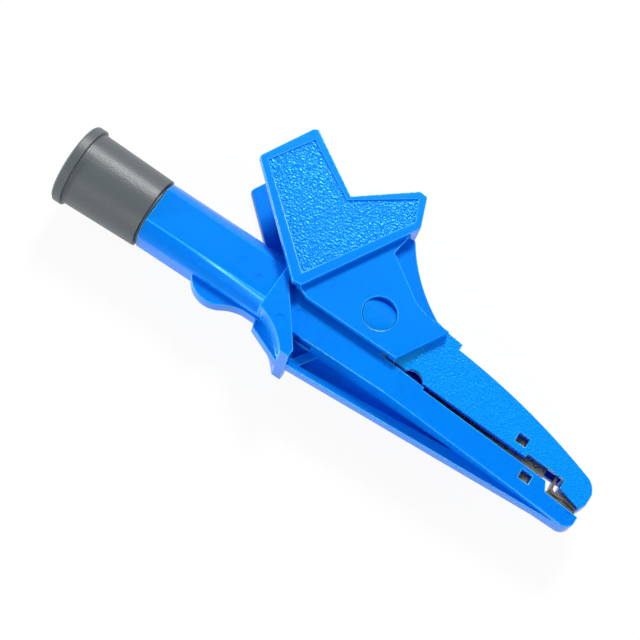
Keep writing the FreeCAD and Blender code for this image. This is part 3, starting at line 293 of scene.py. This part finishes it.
@dataclass
class Moulding:
    """A moulding whose CAD solid gets rounded edges.

    Attributes:
        node: The CAD node it stands for.
        body: The body it rides on.
        slot: The record's material slot. Not used.
        edge_round: Width of the rounding, in metres.
        edge_steps: Faces across the rounding.
        narrowest: Least width of a face whose edges are rounded, in widths of the rounding.
        sharpest: Edges that turn less than this stay as they are, in degrees.
        painted_highlight_edges: Whether the rounded edges are painted paler than the faces, as
            a painted highlight.
    """

    node: str
    body: str
    slot: str
    edge_round: float = 0.14 * MM
    edge_steps: int = 2
    narrowest: float = 1.4
    sharpest: float = 31.0
    painted_highlight_edges: bool = True

    def _narrow_faces(self, shape: bmesh.types.BMesh) -> set[bmesh.types.BMFace]:
        """Finds the faces too narrow to carry the rounding, such as the walls of shallow marks.

        Args:
            shape: The merged solid.

        Returns:
            The narrow faces.
        """
        return {
            face
            for face in shape.faces
            if 2.0 * face.calc_area() / face.calc_perimeter() < self.narrowest * self.edge_round
        }

    def _edges_to_round(
        self, shape: bmesh.types.BMesh, narrow: set[bmesh.types.BMFace]
    ) -> list[bmesh.types.BMEdge]:
        """Finds the outward edges between faces wide enough to carry the rounding.

        Args:
            shape: The merged solid.
            narrow: Its narrow faces.

        Returns:
            The edges to round.
        """
        return [
            edge
            for edge in shape.edges
            if len(edge.link_faces) == 2
            and edge.is_convex
            and edge.calc_face_angle(0.0) > math.radians(self.sharpest)
            and not narrow.intersection(edge.link_faces)
        ]

    def build(self) -> bpy.types.Object:
        """Copies, merges and rounds the CAD solid.

        Returns:
            The new piece, riding on its body.
        """
        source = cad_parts[self.node]
        shape = bmesh.new()
        shape.from_mesh(source.data)
        bmesh.ops.remove_doubles(shape, verts=shape.verts, dist=MERGE_DISTANCE)
        bmesh.ops.dissolve_limit(
            shape, angle_limit=math.radians(FLAT_WITHIN), verts=shape.verts, edges=shape.edges
        )
        narrow = self._narrow_faces(shape)
        # painted highlight: the narrow faces, such as the walls of shallow marks, get the paler
        # edge plastic
        if self.painted_highlight_edges:
            for face in narrow:
                face.material_index = PAINTED_HIGHLIGHT_PLACE
        rounded = bmesh.ops.bevel(
            shape, geom=self._edges_to_round(shape, narrow), offset=self.edge_round,
            offset_type="OFFSET", segments=self.edge_steps, profile=0.5, affect="EDGES",
            clamp_overlap=False, material=-1,
        )
        # painted highlight: the rounded edges get the paler edge plastic
        if self.painted_highlight_edges:
            for face in rounded["faces"]:
                face.material_index = PAINTED_HIGHLIGHT_PLACE
        mesh = bpy.data.meshes.new(f"{self.node}_rounded")
        shape.to_mesh(mesh)
        shape.free()
        piece = bpy.data.objects.new(f"{self.node}_rounded", mesh)
        bpy.context.scene.collection.objects.link(piece)
        mesh.shade_smooth()
        mesh.set_sharp_from_angle(angle=math.radians(self.sharpest))
        flats = piece.modifiers.new("flat_faces", "WEIGHTED_NORMAL")
        flats.mode = "FACE_AREA"
        flats.weight = FLAT_FACE_PULL
        flats.keep_sharp = True
        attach(piece, self.body)
        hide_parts(self.node)
        return piece

    def dress(self, piece: bpy.types.Object, finishes: Finishes) -> None:
        """Polished faces, with paler edges that are a painted highlight.

        Args:
            piece: The piece.
            finishes: The clip's materials.
        """
        for material in (finishes.polished, finishes.edge):
            piece.data.materials.append(material)


@dataclass
class ThumbLever(Moulding):
    """The lever, whose grip panels and upper jaw are grained.

    Attributes:
        panel_level: Height of the recessed grip panels from the symmetry plane, in metres.
        panel_play: How far a panel's faces may lie from that height, in metres.
        jaw_rear: Where the upper jaw's grained side starts, in metres.
        jaw_inner: Height above which a face of the jaw is its outside, in metres.
        sideways: Least share of a face's normal along the symmetry axis.
    """

    panel_level: float = 7.7 * MM
    panel_play: float = 0.03 * MM
    jaw_rear: float = 60.0 * MM
    jaw_inner: float = 1.8 * MM
    sideways: float = 0.9

    def dress(self, piece: bpy.types.Object, finishes: Finishes) -> None:
        """Polished all over, grained on the panels and finely grained on the jaw's sides.

        Args:
            piece: The piece.
            finishes: The clip's materials.
        """
        super().dress(piece, finishes)
        for material in (finishes.grained, finishes.fine_grained):
            piece.data.materials.append(material)
        for face in piece.data.polygons:
            height = abs(face.center.z)
            if abs(face.normal.z) < self.sideways:
                continue
            if abs(height - self.panel_level) < self.panel_play:
                face.material_index = GRAIN_PLACE
            elif face.center.x > self.jaw_rear and height > self.jaw_inner:
                face.material_index = FINE_GRAIN_PLACE


@dataclass
class KeptNodes:
    """CAD nodes whose own shape shows, dressed in place."""

    def dress(self, finishes: Finishes) -> None:
        """Assigns a material to each kept node.

        Args:
            finishes: The clip's materials.
        """
        for node, material in (
            ("socket_tube", finishes.socket),
            ("contact_rivet", finishes.plate),
            ("lower_contact", finishes.plate),
            ("upper_contact", finishes.plate),
        ):
            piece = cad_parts[node]
            piece.data.materials.clear()
            piece.data.materials.append(material)
            log.info("dressed %s", node)


@dataclass
class ReturnSpring:
    """Torsion spring whose coil winds up as the lever turns; the piece is the CAD spring's
    fixed shape.

    Attributes:
        height: Distance between the two legs along the hinge axis, in metres. Not used.
    """

    height: float = 4.66 * MM

    def build(self, finishes: Finishes) -> bpy.types.Object:
        """Copies the CAD spring as it stands, with its doubled vertices merged.

        Args:
            finishes: The clip's materials.

        Returns:
            The spring piece.
        """
        shape = bmesh.new()
        shape.from_mesh(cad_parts["torsion_spring"].data)
        bmesh.ops.remove_doubles(shape, verts=shape.verts, dist=MERGE_DISTANCE)
        mesh = bpy.data.meshes.new("return_spring")
        shape.to_mesh(mesh)
        shape.free()
        mesh.shade_smooth()
        piece = bpy.data.objects.new("return_spring", mesh)
        bpy.context.scene.collection.objects.link(piece)
        piece.data.materials.append(finishes.wire)
        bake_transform(piece)
        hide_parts("torsion_spring")
        return piece


@dataclass
class Studio:
    """Camera, floor and soft lights.

    Attributes:
        turn: Camera's turn about the clip's long side, in degrees.
        tilt: Camera's tilt towards the underside, in degrees.
        roll: Camera's roll, in degrees.
        distance: Distance from the target, in metres.
        target: The point at the picture's centre, in metres.
        lens: Focal length, in millimetres.
        sensor: Width of the camera's sensor, in millimetres.
        nearest: Distance at which the camera starts to see, in metres.
        floor_level: Height of the floor, in metres.
        floor_half: Half the floor's side, in metres.
        floor_grey: Linear shade and roughness of the matt floor under that white.
        floor_white: Share of plain white that the floor shows directly; the rest is its shadow.
        fill: Strength of the even light from all round.
    """

    turn: float = 4.248
    tilt: float = 19.155
    roll: float = 33.326
    distance: float = 315.9 * MM
    target: Vector = field(default_factory=lambda: Vector((45.921, 0.464, 0.0)) * MM)
    lens: float = 113.9
    sensor: float = 36.0
    nearest: float = 0.01
    floor_level: float = -8.02 * MM
    floor_half: float = 1.5
    floor_grey: float = 0.9
    floor_white: float = 0.93
    fill: float = 0.15

    def build(self) -> None:
        """Adds all of them to the scene."""
        self._camera()
        self._floor()
        self._world()
        self._lights()

    def _camera(self) -> None:
        """Places the camera at the photograph's viewpoint."""
        turn, tilt, roll = (math.radians(value) for value in (self.turn, self.tilt, self.roll))
        back = Vector(
            (math.sin(turn) * math.cos(tilt), -math.sin(tilt), math.cos(turn) * math.cos(tilt))
        )
        right = (Vector((1.0, 0.0, 0.0)) - back * back.x).normalized()
        up = back.cross(right)
        across = right * math.cos(roll) + up * math.sin(roll)
        upward = up * math.cos(roll) - right * math.sin(roll)
        data = bpy.data.cameras.new("camera")
        data.lens = self.lens
        data.sensor_width = self.sensor
        data.clip_start = self.nearest
        camera = bpy.data.objects.new("camera", data)
        bpy.context.scene.collection.objects.link(camera)
        turned = Matrix((across, upward, back)).transposed().to_4x4()
        camera.matrix_world = Matrix.Translation(self.target + back * self.distance) @ turned
        bpy.context.scene.camera = camera

    @staticmethod
    def _seen_directly(tree: bpy.types.NodeTree) -> bpy.types.NodeSocket:
        """Tells camera, glossy and transmission rays from the ones that carry light.

        Args:
            tree: The node tree of the floor or the world.

        Returns:
            A socket that is 1 for those three kinds of ray and 0 for the rest.
        """
        ray = tree.nodes.new("ShaderNodeLightPath")
        direct = ray.outputs["Is Camera Ray"]
        for kind in ("Is Glossy Ray", "Is Transmission Ray"):
            either = tree.nodes.new("ShaderNodeMath")
            either.operation = "MAXIMUM"
            tree.links.new(direct, either.inputs[0])
            tree.links.new(ray.outputs[kind], either.inputs[1])
            direct = either.outputs[0]
        return direct

    def _floor(self) -> None:
        """A plain pale floor that reads as white to the camera but keeps the shadow."""
        shape = bmesh.new()
        bmesh.ops.create_grid(shape, x_segments=1, y_segments=1, size=self.floor_half)
        bmesh.ops.translate(shape, verts=shape.verts, vec=(0.0, 0.0, self.floor_level))
        mesh = bpy.data.meshes.new("floor")
        shape.to_mesh(mesh)
        shape.free()
        floor = bpy.data.objects.new("floor", mesh)
        bpy.context.scene.collection.objects.link(floor)
        made = bpy.data.materials.new("pale_floor")
        made.use_nodes = True
        nodes, links = made.node_tree.nodes, made.node_tree.links
        matt = nodes["Principled BSDF"]
        grey = self.floor_grey
        matt.inputs["Base Color"].default_value = (grey, grey, grey, 1.0)
        matt.inputs["Roughness"].default_value = grey
        glow = nodes.new("ShaderNodeEmission")
        glow.inputs["Strength"].default_value = 1.0
        seen = nodes.new("ShaderNodeMath")
        seen.operation = "MULTIPLY"
        seen.inputs[1].default_value = self.floor_white
        links.new(self._seen_directly(made.node_tree), seen.inputs[0])
        blend = nodes.new("ShaderNodeMixShader")
        links.new(seen.outputs[0], blend.inputs[0])
        links.new(matt.outputs[0], blend.inputs[1])
        links.new(glow.outputs[0], blend.inputs[2])
        links.new(blend.outputs[0], nodes["Material Output"].inputs["Surface"])
        mesh.materials.append(made)

    def _world(self) -> None:
        """Even pale light, pure white to the camera and to reflections."""
        world = bpy.data.worlds.new("studio")
        bpy.context.scene.world = world
        world.use_nodes = True
        nodes, links = world.node_tree.nodes, world.node_tree.links
        fill = nodes["Background"]
        fill.inputs["Color"].default_value = (1.0, 1.0, 1.0, 1.0)
        fill.inputs["Strength"].default_value = self.fill
        white = nodes.new("ShaderNodeBackground")
        white.inputs["Strength"].default_value = 1.0
        blend = nodes.new("ShaderNodeMixShader")
        links.new(self._seen_directly(world.node_tree), blend.inputs[0])
        links.new(fill.outputs[0], blend.inputs[1])
        links.new(white.outputs[0], blend.inputs[2])
        links.new(blend.outputs[0], nodes["World Output"].inputs["Surface"])

    def _lights(self) -> None:
        """A soft key from the lever's side, with weaker ones on the other three sides."""
        for name, place, size, watts in (
            ("key", (-40.0, 350.0, 415.0), 150.0, 2.9),
            ("underside", (60.0, -260.0, 110.0), 120.0, 0.28),
            ("strip", (-258.0, -138.0, 54.0), 70.0, 0.7),
            ("right", (290.0, 110.0, 100.0), 120.0, 0.25),
        ):
            data = bpy.data.lights.new(name, "AREA")
            data.shape = "DISK"
            data.size = size * MM
            data.energy = watts
            lamp = bpy.data.objects.new(name, data)
            bpy.context.scene.collection.objects.link(lamp)
            lamp.location = Vector(place) * MM
            aim = self.target - lamp.location
            lamp.rotation_euler = aim.to_track_quat("-Z", "Y").to_euler()


def main() -> None:
    """Builds the clip, dresses it and sets up the studio."""
    logging.basicConfig(level=logging.INFO, format="%(message)s")
    bpy.context.scene.view_settings.view_transform = "Standard"
    finishes = Finishes()
    for moulding in (
        Moulding("lower_body", "body", "blue_plastic"),
        ThumbLever("thumb_lever", "lever", "blue_plastic"),
    ):
        piece = moulding.build()
        moulding.dress(piece, finishes)
        log.info("built %s", piece.name)
    # the grey sleeve's edges get no painted highlight
    sleeve = Moulding("rear_sleeve", "body", "grey_plastic", painted_highlight_edges=False)
    piece = sleeve.build()
    piece.data.materials.append(finishes.sleeve)
    log.info("built %s", piece.name)
    KeptNodes().dress(finishes)
    spring = ReturnSpring().build(finishes)
    log.info("built %s", spring.name)
    Studio().build()
    bpy.context.view_layer.update()


if __name__ == "__main__":
    main()
